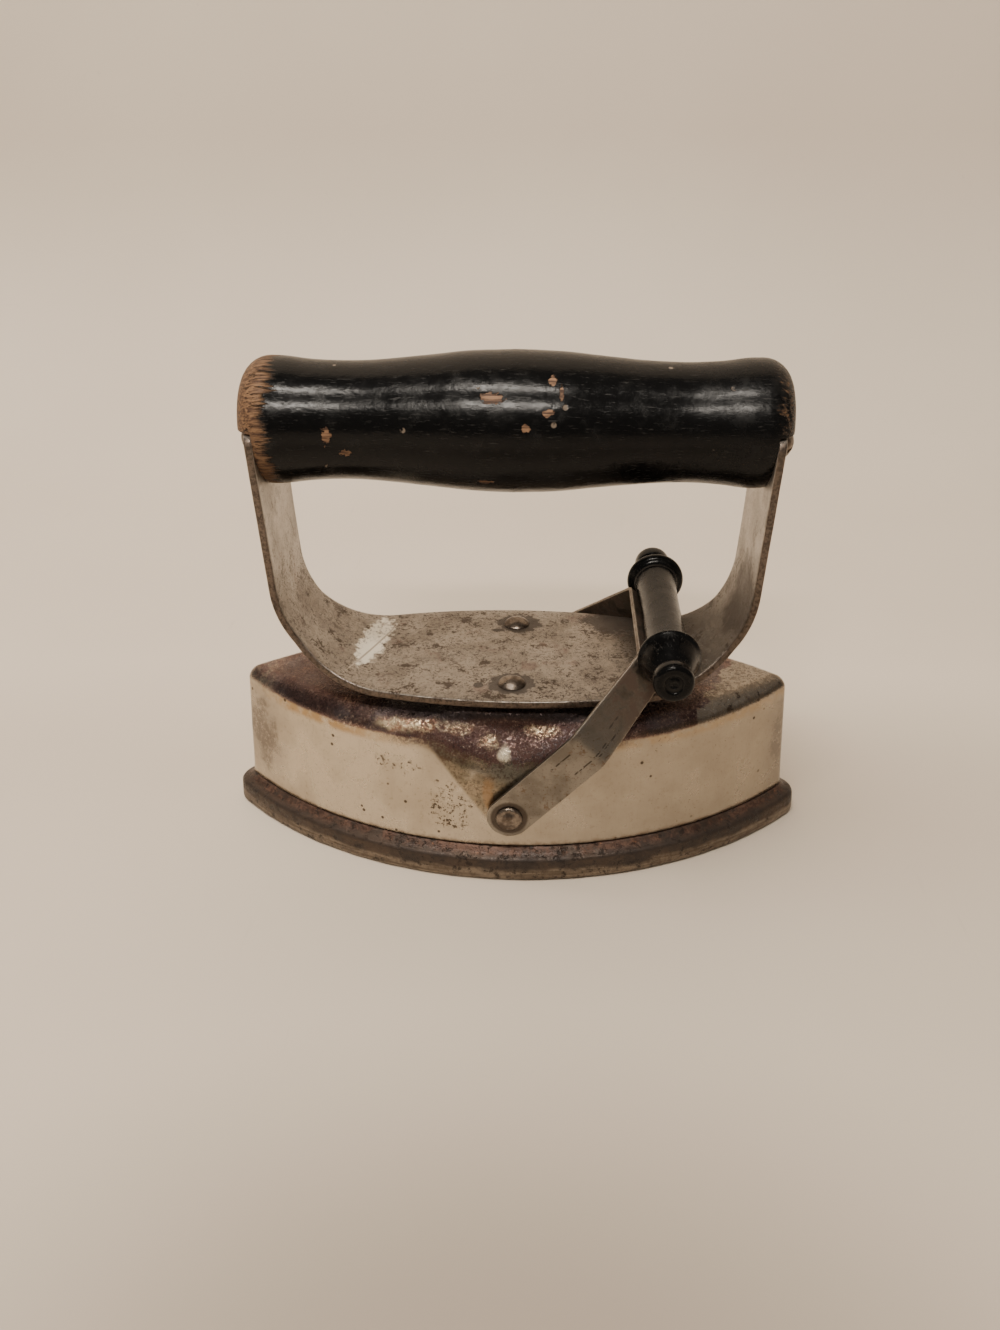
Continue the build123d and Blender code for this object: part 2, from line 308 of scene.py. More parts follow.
class Paint:
    """A node material built from short calls. Positions are in millimetres in the row frame."""

    def __init__(self, name):
        self.material = bpy.data.materials.new(name)
        self.material.use_nodes = True
        self.tree = self.material.node_tree
        self.shader = self.tree.nodes["Principled BSDF"]
        self.place = self.vector("MULTIPLY", self.node("TexCoord").outputs["Object"], (1000, 1000, 1000))

    def node(self, kind):
        return self.tree.nodes.new("ShaderNode" + kind)

    def feed(self, socket, value):
        """Links a value to the socket, or sets the socket to a constant."""
        if isinstance(value, Value):
            value = value.socket
        if isinstance(value, bpy.types.NodeSocket):
            self.tree.links.new(value, socket)
        elif isinstance(value, (tuple, list)) and len(value) == 3 and socket.type == "RGBA":
            socket.default_value = (*value, 1)
        else:
            socket.default_value = value

    def feed_all(self, node, *values):
        for socket, value in zip(node.inputs, values):
            self.feed(socket, value)
        return node

    def vector(self, operation, *values):
        node = self.node("VectorMath")
        node.operation = operation
        self.feed_all(node, *values)
        if operation in ("LENGTH", "DOT_PRODUCT"):
            return Value(self, node.outputs["Value"])
        return node.outputs[0]

    def math(self, operation, *values):
        node = self.node("Math")
        node.operation = operation
        return Value(self, self.feed_all(node, *values).outputs[0])

    def axes(self, point=None):
        """x, y and z of a point, or of the place that is shaded."""
        node = self.feed_all(self.node("SeparateXYZ"), point or self.place)
        return [Value(self, socket) for socket in node.outputs]

    def scaled(self, size, stretch, shift):
        point = self.vector("MULTIPLY", self.place, tuple(1 / (size * s) for s in stretch))
        return self.vector("ADD", point, shift)

    def noise(self, size, detail=4, rough=0.55, shift=(0, 0, 0), stretch=(1, 1, 1), warp=0):
        """Fractal noise about 0.5 with features about size across."""
        node = self.node("TexNoise")
        self.feed(node.inputs["Vector"], self.scaled(size, stretch, shift))
        for key, value in (("Scale", 1), ("Detail", detail), ("Roughness", rough), ("Distortion", warp)):
            node.inputs[key].default_value = value
        return Value(self, node.outputs[0])

    def cells(self, size, shift=(0, 0, 0)):
        """Distance to the nearest of scattered points about size apart."""
        node = self.node("TexVoronoi")
        self.feed(node.inputs["Vector"], self.scaled(size, (1, 1, 1), shift))
        node.inputs["Scale"].default_value = 1
        return Value(self, node.outputs["Distance"])

    def mix(self, share, a, b):
        node = self.node("Mix")
        node.data_type = "RGBA"
        for index, value in ((0, share), (6, a), (7, b)):
            self.feed(node.inputs[index], value)
        return Colour(self, node.outputs[2])

    def lerp(self, share, a, b):
        """Number between a and b."""
        node = self.node("Mix")
        for index, value in ((0, share), (2, a), (3, b)):
            self.feed(node.inputs[index], value)
        return Value(self, node.outputs[0])

    def most(self, *values):
        result = values[0]
        for value in values[1:]:
            result = self.math("MAXIMUM", result, value)
        return result

    def blob(self, centre, radii, ragged=0.25, size=3, soft=0.35, turn=0):
        """1 in an uneven spot about centre, 0 outside. turn is in degrees about Z."""
        point = self.vector("SUBTRACT", self.place, centre)
        if turn:
            node = self.node("VectorRotate")
            node.rotation_type = "Z_AXIS"
            self.feed(node.inputs["Vector"], point)
            self.feed(node.inputs["Angle"], math.radians(turn))
            point = node.outputs[0]
        away = self.vector("LENGTH", self.vector("DIVIDE", point, radii))
        rough = (self.noise(size, 5, 0.65) - 0.5) * (4 * ragged)
        return (away + rough).step(1 + soft / 2, 1 - soft / 2)

    def sharp_edge_mask(self, radius):
        """1 on sharp outer edges, from the difference between the true and a rounded normal."""
        bevel = self.node("Bevel")
        bevel.samples = 4
        bevel.inputs["Radius"].default_value = radius * MM
        true_normal = self.node("NewGeometry").outputs["Normal"]
        return self.vector("DOT_PRODUCT", bevel.outputs[0], true_normal).step(0.995, 0.85)

    def bump(self, height, depth):
        """Bump of a height field from 0 to 1, depth millimetres deep."""
        node = self.node("Bump")
        node.inputs["Strength"].default_value = 1
        node.inputs["Distance"].default_value = depth * MM
        self.feed(node.inputs["Height"], height)
        return node.outputs[0]

    def finish(self, colour, rough, metal=0, normal=None):
        """Feeds the shader and gives the material."""
        inputs = {"Base Color": colour, "Roughness": rough, "Metallic": metal, "Normal": normal}
        for key, value in inputs.items():
            if value is not None:
                self.feed(self.shader.inputs[key], value)
        return self.material


# ------------------------ materials

def nickel_hood():
    """Worn nickel: cream satin walls with fine pits, brown and purple tarnish over the shoulder and top, and
    painted highlights, shadows and reflections.
    """
    p = Paint("nickel_plate")
    x, y, z = p.axes()
    cloud = p.noise(14, 5, 0.6)
    grain = p.noise(1.1, 5, 0.7)
    fine = p.noise(0.35, 3, 0.6)
    brushed = p.noise(0.5, 4, 0.6, stretch=(1, 1, 14))
    wall = p.mix(cloud.step(0.35, 0.7), (0.62, 0.545, 0.435), (0.5, 0.43, 0.335))
    wall.add(grain.step(0.54, 0.7) * 0.42, (0.3, 0.235, 0.165))
    wall.add(brushed.step(0.52, 0.75) * 0.25, (0.4, 0.34, 0.265))
    # painted shade: the wall is darker towards the right, away from the lamps
    wall.add(x.step(-25, 30), p.mix(0.5, wall, (0.25, 0.215, 0.175)))
    # height above the crease of the shoulder, which rises towards the points, as a ragged line
    middle = abs(x)
    rise = (middle * (1 / 70)) ** 4 * 1.7
    dip = middle.step(21, 3) * 5.4
    ragged = (p.noise(5, 6, 0.65) - 0.5) * p.lerp(middle.step(25, 6), 1.6, 6)
    line = z - rise + (dip + ragged)
    left = x.step(-28, -44) * x.step(-66, -58)
    amber = line.step(33.2, 35.2) * p.noise(5, 5, 0.65, (4, 4, 4)).step(0.34, 0.56)
    wall.add(amber * p.lerp(left, 0.35, 0.8), (0.4, 0.25, 0.105))
    brown = line.step(34, 36.2) * middle.step(34, 12)
    wall.add(brown * 0.7, (0.21, 0.135, 0.085))
    # yellow and olive heat stain in the flute
    vee = (middle - (z - HOOD_RIM) * 0.74).step(0.7, -0.9) * abs(y).step(20, 24) * z.step(13.5, 18)
    stain = p.mix(p.noise(4, 6, 0.7, (5, 2, 1)).step(0.4, 0.6), (0.34, 0.275, 0.195), (0.215, 0.18, 0.122))
    stain.add(p.noise(2.2, 5, 0.7, (1, 8, 3)).step(0.56, 0.7), (0.17, 0.125, 0.085))
    mottle = p.noise(0.8, 6, 0.78, (4, 8, 5)).step(0.5, 0.57)
    stain.add(mottle * 0.8, (0.1, 0.074, 0.05))
    orange = p.blob((-4.9, -30.5, 23), (1.3, 4, 5), 0.8, 2, 0.9)
    stain.add(orange * 0.6, (0.36, 0.215, 0.105))
    umber = p.blob((-16.5, -30, 33), (6, 4, 2.6), 0.8, 2.4, 0.7)
    stain.add(umber * grain.step(0.4, 0.54) * 0.85, (0.11, 0.062, 0.042))
    wall.add(vee * p.noise(7, 5, 0.6, (3, 3, 3)).step(0.26, 0.5) * 0.92, stain)
    # painted reflection: the dish of the flute is darker and mottled, as it mirrors the dark room
    dish_reflection = p.blob((-0.6, -28.5, 29), (4.8, 4, 3.4), 0.35, 2, 0.6)
    wall.add(dish_reflection * 0.75, p.mix(mottle, (0.25, 0.235, 0.19), (0.12, 0.1, 0.08)))
    # top: brown to purple corrosion with rubbed bright grains
    rust = p.mix(p.noise(6, 7, 0.7).step(0.4, 0.62), (0.088, 0.052, 0.05), (0.205, 0.13, 0.11))
    rust.add(p.noise(12, 5, 0.6, (7, 1, 2)).step(0.46, 0.64), (0.165, 0.13, 0.13))
    grains = p.noise(0.7, 5, 0.75, (2, 9, 4)).step(0.54, 0.64)
    rust.add(grains * p.noise(5, 5, 0.6, (2, 2, 6)).step(0.36, 0.56) * 0.8, (0.62, 0.47, 0.37))
    specks = p.noise(0.9, 5, 0.75, (6, 3, 8)).step(0.57, 0.66)
    rust.add(specks * 0.75, (0.045, 0.026, 0.022))
    right = x.step(26, 34)
    bare = p.mix(grain.step(0.4, 0.62), (0.38, 0.335, 0.28), (0.25, 0.21, 0.17))
    spots = p.noise(2.4, 6, 0.72, (7, 5, 1)).step(0.57, 0.64)
    bare.add(spots * 0.9, (0.065, 0.045, 0.035))
    ragged_x = (p.noise(4, 6, 0.7, (1, 6, 6)) - 0.5) * 14
    peel = (x - y * 0.45 + ragged_x).step(53.5, 54.5)
    rust.add(peel * right, bare)
    shadow = right * line.step(36.2, 37.2) * line.step(38.6, 37.6) * 0.6
    rust.add(shadow, (0.1, 0.07, 0.045))
    # painted reflection: the top at the left point is lighter, as it mirrors the bright backdrop
    left_tip_reflection = x.step(-58, -66)
    rust.add(left_tip_reflection * p.noise(3, 6, 0.7, (4, 4, 9)).step(0.42, 0.6) * 0.8, (0.34, 0.29, 0.235))
    top = line.step(36.1, 36.9)
    colour = p.mix(top, wall, rust)
    # painted highlight lobes and dark crust on the shoulder above the flute, and a painted shadow on the top under
    # the strap
    front = middle.step(34, 20) * line.step(34, 36.4)
    # painted highlights: bright copper and cream lobes where the shoulder catches the tubes
    highlight_lobes = p.most(p.blob((-10.6, -26, 38.6), (5.6, 2.2, 1.5), 0.4, 2.6, 0.9),
                   p.blob((6.2, -25.4, 37.8), (4.8, 2.2, 1.3), 0.4, 2.6, 0.9),
                   p.blob((-4.6, -27, 36), (2.4, 2.6, 2.2), 0.4, 2.6, 0.9),
                   p.blob((-26, -25.6, 39.2), (11, 2.8, 1.4), 0.5, 2.2, 1))
    shine = p.mix(p.noise(1.4, 5, 0.7, (3, 8, 3)).step(0.4, 0.56), (0.48, 0.265, 0.165), (0.95, 0.76, 0.5))
    colour.add(highlight_lobes, shine)
    flecks = p.noise(0.75, 6, 0.78, (6, 6, 3))
    crust = front * p.lerp(highlight_lobes, flecks.step(0.475, 0.525), flecks.step(0.505, 0.545))
    colour.add(crust * 0.92, (0.075, 0.034, 0.028))
    # painted shadow: the top under the strap's front edge is made near black
    under = abs(y).step(25.2, 23.4) * middle.step(34, 22) * z.step(38.6, 40.2)
    colour.add(under * 0.85, (0.036, 0.029, 0.03))
    # tarnish and a painted dark reflection of the strap on the top under its left bend
    bend_reflection_and_tarnish = p.blob((-50, -10, 41), (11, 12, 4), 0.5, 5, 0.6) * top
    colour.add(bend_reflection_and_tarnish * 0.7, (0.075, 0.045, 0.042))
    # painted highlight: a small bright spot at the top of the dish
    glint = p.blob((-1.3, -29, 33), (1.4, 3, 1.7), 0.35, 1.6, 1)
    colour.add(glint, (0.92, 0.8, 0.6))
    # smudges at the ends, and painted shade on the right end
    veil = p.blob((-67, -6, 24), (8, 12, 12), 0.35, 6, 1.2)
    colour.add(veil * 0.5, (0.27, 0.235, 0.2))
    smudge = p.blob((-67, -6.5, 24.5), (4.4, 9, 8.5), 0.85, 4, 0.9)
    smudge = smudge * p.noise(1.2, 6, 0.75, (3, 1, 1)).step(0.36, 0.52)
    colour.add(smudge * 0.7, (0.15, 0.12, 0.1))
    right_smudge = p.blob((70, -4, 24), (3, 5, 8), 0.6, 3, 0.6) * grain.step(0.36, 0.52)
    colour.add(right_smudge * 0.7, (0.19, 0.165, 0.145))
    # painted shade: the wall at the right end is darker
    end = x.step(62, 70.5) * z.step(37, 34) * 0.45
    colour.add(end, (0.23, 0.2, 0.17))
    # rare pits and the darker rim
    pits = p.cells(4.6).step(0.12, 0.07) * p.noise(16, 3, 0.5, (6, 6, 6)).step(0.4, 0.52)
    tiny = p.noise(0.55, 3, 0.6, (5, 9, 9)).step(0.66, 0.71)
    tiny = tiny * p.noise(9, 4, 0.6, (3, 8, 8)).step(0.42, 0.6)
    pits = p.most(pits, tiny * 0.8)
    group = p.most(p.blob((-27.5, -28.5, 29), (5, 6, 2.2), 0.7, 2, 0.5),
                   p.blob((-15.5, -31, 18.5), (5, 6, 6), 0.8, 2.5, 0.5))
    pits = p.most(pits, group * p.noise(1, 4, 0.7, (9, 9, 1)).step(0.535, 0.59))
    colour.add(pits * 0.85, (0.075, 0.05, 0.035))
    rim = z.step(10.2, 8.8)
    colour.add(rim * p.noise(3, 5, 0.7).step(0.42, 0.6) * 0.6, (0.2, 0.14, 0.1))
    rough = p.lerp(top, p.lerp(cloud.step(0.3, 0.7), 0.25, 0.34), p.lerp(grain.step(0.4, 0.7), 0.22, 0.42))
    rough = rough + p.most(pits, crust) * 0.3
    height = fine * 0.22 + grain * p.lerp(top, 0.3, 1.7) - crust * 1.6
    height = height + p.noise(0.6, 4, 0.7, (2, 9, 4)) * (top * 1.5) - pits * 0.8
    return p.finish(colour, rough, p.lerp(crust, p.lerp(top, 0.97, 0.93), 0.35), p.bump(height, 0.035))


def strap_steel():
    """Tarnished bare steel: grey-tan with dark pits, stained rings round the rivets, a pale scrape, and painted
    shade over the right half of the top.
    """
    p = Paint("strap_steel")
    x, _, z = p.axes()
    cloud = p.noise(10, 6, 0.6)
    grain = p.noise(0.8, 6, 0.7)
    lines = p.noise(0.45, 3, 0.6, stretch=(1, 22, 1))
    leg = z.step(58, 80)
    base = p.mix(cloud.step(0.36, 0.66), (0.385, 0.345, 0.3), (0.265, 0.232, 0.196))
    base.add(leg, p.mix(cloud.step(0.4, 0.7), (0.47, 0.43, 0.385), (0.38, 0.348, 0.31)))
    base.add(lines.step(0.52, 0.7) * 0.22, (0.52, 0.46, 0.385))
    base.add(grain.step(0.5, 0.36) * 0.3, (0.54, 0.475, 0.39))
    speck = p.noise(0.75, 6, 0.82, (1, 1, 1)).step(0.53, 0.56)
    zone = p.noise(7, 5, 0.65, (2, 5, 1)).step(0.4, 0.56)
    dark = speck * p.lerp(leg, p.lerp(zone, 0.55, 1), 0.25)
    base.add(dark, (0.07, 0.052, 0.041))
    blots = p.noise(5, 8, 0.78, (8, 3, 4)).step(0.555, 0.585)
    base.add(blots * p.lerp(leg, 0.9, 0.3), (0.065, 0.047, 0.037))
    reddish = p.noise(8, 5, 0.7, (1, 1, 7)).step(0.56, 0.68)
    base.add(reddish * p.lerp(leg, 0.55, 0.2), (0.2, 0.135, 0.115))
    halos = p.most(p.blob((0, -16.5, 46), (5.7, 5.2, 6), 0.26, 1.8, 0.16),
                   p.blob((0.6, 16.5, 46), (5.8, 5.4, 6), 0.26, 1.8, 0.16),
                   p.blob((-8.2, -17.5, 46), (1.3, 1.5, 3), 0.3, 1.2, 0.3),
                   p.blob((-4.8, 12.6, 46), (1.9, 0.8, 3), 0.3, 1.2, 0.3),
                   p.blob((27, 18.5, 46), (8, 7, 4), 0.5, 3, 0.4))
    base.add(halos * 0.9, (0.062, 0.047, 0.037))
    # brown wash where the strap bends
    bend = z.step(47, 52) * z.step(70, 58)
    wash = bend * p.noise(5, 6, 0.68, (3, 7, 2)).step(0.42, 0.56)
    base.add(wash * 0.6, (0.25, 0.215, 0.185))
    drip = p.blob((58, -4, 65), (9, 10, 11), 0.4, 5, 0.35)
    base.add(drip * 0.85, (0.095, 0.074, 0.06))
    # painted shade: the right half of the strap's top is darker, away from the lamps
    base.add(x.step(6, 40) * z.step(60, 50) * 0.3, (0.16, 0.13, 0.105))
    # pale scrape, diagonal, with a thin scratch through it
    scrape = p.blob((-37.2, 4.2, 45), (3.6, 14, 6), 0.55, 2.2, 0.35, 9)
    core = p.blob((-37.4, -1.2, 45), (2.4, 7, 6), 0.45, 2.2, 0.5, 9)
    scrape = p.most(core, scrape * p.noise(0.7, 6, 0.75, stretch=(1, 2, 1)).step(0.38, 0.5))
    base.add(scrape, (0.8, 0.73, 0.6))
    thin = p.blob((-37.2, -1, 45), (0.28, 17, 6), 0.1, 3, 0.5, 17)
    base.add(thin * 0.75, p.mix(scrape, (0.62, 0.55, 0.46), (0.3, 0.235, 0.17)))
    # rusty cut edges
    normal = p.node("NewGeometry").outputs["Normal"]
    cut = abs(p.axes(normal)[1]).step(0.55, 0.85)
    rust = p.mix(grain.step(0.44, 0.6), (0.135, 0.1, 0.077), (0.05, 0.036, 0.028))
    base.add(cut * 0.9, rust)
    sharp_edges = p.sharp_edge_mask(0.5)
    base.add(sharp_edges * grain.step(0.44, 0.56), (0.1, 0.07, 0.05))
    worn = p.lerp(cloud.step(0.35, 0.65), 0.33, 0.45)
    rough = worn + p.most(dark, halos) * 0.16
    rough = p.lerp(scrape, rough, 0.6)
    metal = p.lerp(p.most(scrape, p.most(dark, halos) * 0.6), 0.95, 0.25)
    height = p.noise(0.5, 4, 0.6) * 0.5 - p.most(dark, blots) * 0.6 + lines * 0.25
    return p.finish(base, rough, metal, p.bump(height, 0.035))


def bail_steel():
    """Worn steel strip with brown specks, painted shade and brown stain above the knee, and bright edges that are
    rubbed metal with a painted edge highlight.
    """
    p = Paint("bail_steel")
    x, _, z = p.axes()
    cloud = p.noise(7, 5, 0.6)
    grain = p.noise(0.6, 5, 0.7)
    base = p.mix(cloud.step(0.38, 0.64), (0.265, 0.238, 0.2), (0.18, 0.158, 0.13))
    # distance along the resting arm from the pivot, and across it
    along = x * math.sin(LEAN) + (z - PIVOT.z) * math.cos(LEAN)
    across = x * math.cos(LEAN) - (z - PIVOT.z) * math.sin(LEAN)
    speck = grain.step(0.56, 0.65)
    base.add(speck * 0.8, (0.12, 0.082, 0.055))
    blots = p.noise(2.6, 7, 0.74, (3, 6, 4)).step(0.57, 0.63)
    base.add(blots * 0.75, (0.15, 0.1, 0.068))
    # painted shade and brown tarnish: the arm is darker above the knee, where it bends in
    high = along.step(29, 40)
    base.add(high * 0.55, (0.19, 0.155, 0.12))
    stain = high * p.noise(3.6, 6, 0.7, (1, 4, 2)).step(0.42, 0.56)
    base.add(stain * 0.85, (0.1, 0.065, 0.048))
    broken = p.noise(1.6, 3, 0.6, (2, 2, 9)).step(0.44, 0.48)
    marks = []
    for offset, low, end in ((2.2, 20, 31), (2.9, 26.5, 35), (-2.6, 17, 24), (0.6, 33, 36.5)):
        thin = abs(across - offset).step(0.26, 0.14)
        marks.append(thin * along.step(low, low + 0.6) * along.step(end, end - 0.6) * broken)
    cuts = p.most(*marks)
    base.add(cuts * 0.9, (0.035, 0.026, 0.02))
    away = p.math("SQRT", along * along + across * across)
    ring = away.step(4.9, 4.2) * 0.85
    base.add(ring, (0.06, 0.045, 0.036))
    # bright edges: rubbed metal, with a painted highlight along the lit edges
    sharp_edges = p.sharp_edge_mask(0.35)
    base.add(sharp_edges * 0.85, (0.7, 0.63, 0.53))
    rough = p.lerp(cloud.step(0.35, 0.65), 0.3, 0.42)
    rough = rough + p.most(speck * 0.5, stain) * 0.16
    height = p.noise(0.4, 4, 0.6) * 0.5 - p.most(speck, cuts) * 0.6
    return p.finish(base, rough, p.lerp(p.most(stain, cuts), 0.95, 0.6), p.bump(height, 0.03))


def rivet_steel():
    """Dark tarnished fasteners with rubbed high spots."""
    p = Paint("rivet_steel")
    cloud = p.noise(2.4, 6, 0.65)
    grain = p.noise(0.5, 5, 0.7)
    base = p.mix(cloud.step(0.38, 0.62), (0.25, 0.205, 0.165), (0.1, 0.076, 0.06))
    base.add(grain.step(0.56, 0.68) * 0.6, (0.06, 0.045, 0.036))
    rough = p.lerp(cloud.step(0.35, 0.65), 0.26, 0.42)
    return p.finish(base, rough, 0.92, p.bump(grain + cloud, 0.05))


def cast_iron():
    """Brown cast iron: rusty ledge, dark side, and a rubbed lighter band along the sole."""
    p = Paint("cast_iron")
    z = p.axes()[2]
    cloud = p.noise(9, 6, 0.65)
    grain = p.noise(1.3, 6, 0.7)
    fine = p.noise(0.4, 4, 0.65)
    long = p.noise(1.5, 5, 0.6, stretch=(9, 9, 0.7))
    base = p.mix(cloud.step(0.38, 0.64), (0.082, 0.06, 0.047), (0.04, 0.03, 0.025))
    ledge = z.step(6.2, 7.3)
    red = p.mix(grain.step(0.42, 0.62), (0.078, 0.043, 0.032), (0.165, 0.092, 0.064))
    base.add(ledge * p.noise(5, 5, 0.7, (2, 2, 2)).step(0.36, 0.55) * 0.85, red)
    worn_line = z + (p.noise(11, 4, 0.6, (4, 1, 1)) - 0.5) * 5
    low = worn_line.step(4, 2.3)
    worn = p.mix(long.step(0.4, 0.62), (0.265, 0.215, 0.165), (0.14, 0.11, 0.083))
    base.add(low * p.lerp(grain.step(0.45, 0.65), 0.9, 0.45), worn)
    crust = p.noise(2.2, 7, 0.76, (7, 2, 5)).step(0.54, 0.61)
    base.add(crust * 0.8, (0.035, 0.027, 0.023))
    orange = p.noise(3, 6, 0.7, (3, 8, 8)).step(0.6, 0.7) * ledge
    base.add(orange * 0.7, (0.3, 0.13, 0.06))
    sole = z.step(0.25, 0.05)
    scratched = p.noise(0.7, 4, 0.6, stretch=(30, 1, 1))
    bright = p.mix(scratched.step(0.42, 0.62), (0.36, 0.33, 0.3), (0.24, 0.21, 0.185))
    bright.add(p.noise(10, 7, 0.7, (5, 5, 1)).step(0.54, 0.66) * 0.85, (0.13, 0.085, 0.06))
    base.add(sole, bright)
    rough = p.lerp(low, p.lerp(grain.step(0.4, 0.65), 0.36, 0.58), 0.4)
    rough = p.lerp(sole, rough, 0.34)
    metal = p.lerp(p.most(low, sole), p.lerp(cloud.step(0.4, 0.6), 0.72, 0.5), 0.88)
    height = p.lerp(sole, grain + fine * 0.35 - crust * 0.5, scratched * 0.3)
    return p.finish(base, rough, metal, p.bump(height, 0.11))


def enamel(name, bare_spots, worn_end, axis, haze):
    """Gloss black enamel on wood turned about an axis, chipped to the wood in the bare spots.

    worn_end is the half length of a piece whose ends are worn bare, or None.
    """
    p = Paint(name)
    along = p.axes()[axis]
    stretch = tuple(14 if k == axis else 1 for k in range(3))
    wood_grain = p.noise(0.55, 5, 0.65, stretch=stretch, warp=0.4)
    wood = p.mix(wood_grain.step(0.36, 0.64), (0.185, 0.105, 0.056), (0.05, 0.027, 0.018))
    pale = p.mix(wood_grain.step(0.38, 0.58), (0.225, 0.128, 0.072), (0.042, 0.022, 0.014))
    chips = p.most(0, *(p.blob(centre, radii, 0.75, 1.1, 0.1) for centre, radii in bare_spots))
    ends = 0
    if worn_end:
        ragged = (p.noise(1.6, 6, 0.75, stretch=stretch) - 0.5) * 13
        left = (along + ragged).step(-worn_end + 8.6, -worn_end + 6.6)
        right = (along + ragged).step(worn_end - 4.6, worn_end - 3.2)
        fibres = p.noise(0.75, 6, 0.75, stretch=stretch, shift=(6, 2, 8))
        deep = abs(along).step(worn_end - 4, worn_end - 1)
        left = left * p.most(fibres.step(0.36, 0.46), deep * 0.85)
        right = right * fibres.step(0.5, 0.6) * 0.7
        ends = p.most(left, right)
    bare = p.most(ends, chips)
    dust = p.noise(5, 6, 0.7, (3, 1, 2))
    fine = p.noise(0.45, 4, 0.7)
    short = tuple(7 if k == axis else 1 for k in range(3))
    rubs = p.noise(0.5, 4, 0.7, stretch=short, shift=(5, 5, 5))
    black = p.mix(dust.step(0.5, 0.72), (0.0025, 0.0025, 0.0026), (0.007, 0.0068, 0.0066))
    black.add(rubs.step(0.6, 0.72) * haze, (0.05, 0.046, 0.041))
    nicks = p.cells(6.5, shift=(2, 3, 1)).step(0.115, 0.07)
    nicks = nicks * p.noise(3, 4, 0.6, (8, 8, 2)).step(0.48, 0.56)
    black.add(nicks * 0.8, (0.16, 0.125, 0.095))
    colour = p.mix(chips, black, pale)
    colour.add(ends, wood)
    scorch = p.noise(2.5, 6, 0.75, (9, 1, 3)).step(0.55, 0.68) * ends
    colour.add(scorch * 0.8, (0.02, 0.014, 0.011))
    rough = p.lerp(dust.step(0.4, 0.72), 0.16, 0.3)
    rough = rough + rubs.step(0.55, 0.7) * 0.25 + along.step(30, 46) * 0.06
    rough = p.lerp(bare, rough, 0.52)
    height = p.noise(2.6, 4, 0.6) + fine * 0.08 + rubs * 0.15
    height = height - bare * (wood_grain * 0.8 + 1.2) - nicks * 0.5
    p.shader.inputs["Specular IOR Level"].default_value = 0.18
    return p.finish(colour, rough, 0, p.bump(height, 0.09))


def mineral_board():
    """Pale fibrous insulation, browned by heat."""
    p = Paint("mineral_board")
    fibre = p.noise(1.2, 6, 0.7, stretch=(4, 1, 1), warp=1.5)
    base = p.mix(fibre.step(0.38, 0.64), (0.56, 0.53, 0.47), (0.38, 0.34, 0.28))
    base.add(p.noise(12, 5, 0.6).step(0.5, 0.7) * 0.6, (0.25, 0.19, 0.13))
    return p.finish(base, 0.9, 0, p.bump(fibre, 0.12))


def tinplate():
    """Dull tin, browned in clouds."""
    p = Paint("tinplate")
    cloud = p.noise(8, 6, 0.65)
    base = p.mix(cloud.step(0.4, 0.65), (0.42, 0.39, 0.34), (0.22, 0.16, 0.11))
    return p.finish(base, p.lerp(cloud, 0.25, 0.6), 0.9, p.bump(p.noise(1, 5, 0.7), 0.04))


def floor_paint():
    """Pale matt paper with a painted soft shadow of the photographer in front of the iron, and faint scuffs."""
    p = Paint("floor")
    cloud = p.noise(160, 4, 0.5)
    base = p.mix(cloud.step(0.3, 0.7), (0.6, 0.52, 0.427), (0.575, 0.495, 0.406))
    # painted shadow of the photographer on the floor in front of the iron
    photographer_shadow = p.blob((5, -160, 0), (85, 50, 60), 0.02, 60, 1.5)
    base.add(photographer_shadow * 0.9, (0.3, 0.25, 0.2))
    scuffs = p.noise(5, 5, 0.6, stretch=(1, 14, 1), shift=(0.3, 0.1, 0)).step(0.66, 0.76) * 0.14
    base.add(scuffs, (0.36, 0.31, 0.26))
    return p.finish(base, 0.62, 0)


# ------------------------ hood

# depth of the gully above the pivot, by height, where it runs down the middle of the flute
GULLY = smooth_curve([(22, 0), (24.5, 0.12), (27, 0.5), (29, 1), (30.5, 1.35), (31.5, 1.7), (32.5, 2.35),
                      (33.5, 3.3), (34.5, 4.45), (36, 5.95), (37.5, 6.75), (39, 7.1), (HOOD_TOP, 7.5)], 8)


def hood_section(z, inset):
    """Lens sizes of the drafted wall at a height, moved inwards by inset."""
    t = (z - HOOD_RIM) / (HOOD_TOP - HOOD_RIM)
    half_length, half_width, tip = (size - loss * t - inset for size, loss in HOOD_LENS)
    return half_length, half_width, max(tip, 0.35)


def shoulder_height(x):
    """Height of the shoulder, lower towards the points of the hood."""
    return 5 - 1.7 * min(abs(x) / 70, 1)**4


def gully(height):
    """Depth of the gully at a height."""
    if height <= GULLY[0][0]:
        return 0
    for low, high in zip(GULLY, GULLY[1:]):
        if height <= high[0]:
            return low[1] + (high[1] - low[1]) * (height - low[0]) / (high[0] - low[0])
    return GULLY[-1][1]


def flute_depth(x, z):
    """How far the flute is pressed into the wall: a shallow V that opens into a gully at the shoulder."""
    if z <= HOOD_RIM:
        return 0
    wide = abs(x) / (0.74 * (z - HOOD_RIM) + 0.01)
    shallow = 0.03 * (z - HOOD_RIM) * max(0, 1 - wide)
    near = math.hypot(x, 1.5) - 1.5
    narrowing = 0.28 * near + 0.012 * max(near - 6, 0)**2
    rolled = 1 - math.sqrt(max(1 - max(z - 40.2, 0)**2 / 1.45, 0))
    lip = 1.2 * rolled * max(0, 1 - near / 16)
    return shallow + gully(z - narrowing) + lip


def wall_y(x, z, inset):
    """Half width of the unfluted wall at x and z."""
    section = hood_section(z, inset)
    side = side_radius(*section)
    return math.sqrt(max(side * side - x * x, 0)) - side + section[1]


def soft_min(a, b, width):
    """Lesser of two numbers, rounded where they come within width of each other."""
    gap = max(width - abs(a - b), 0) / width
    return min(a, b) - gap * gap * width / 4


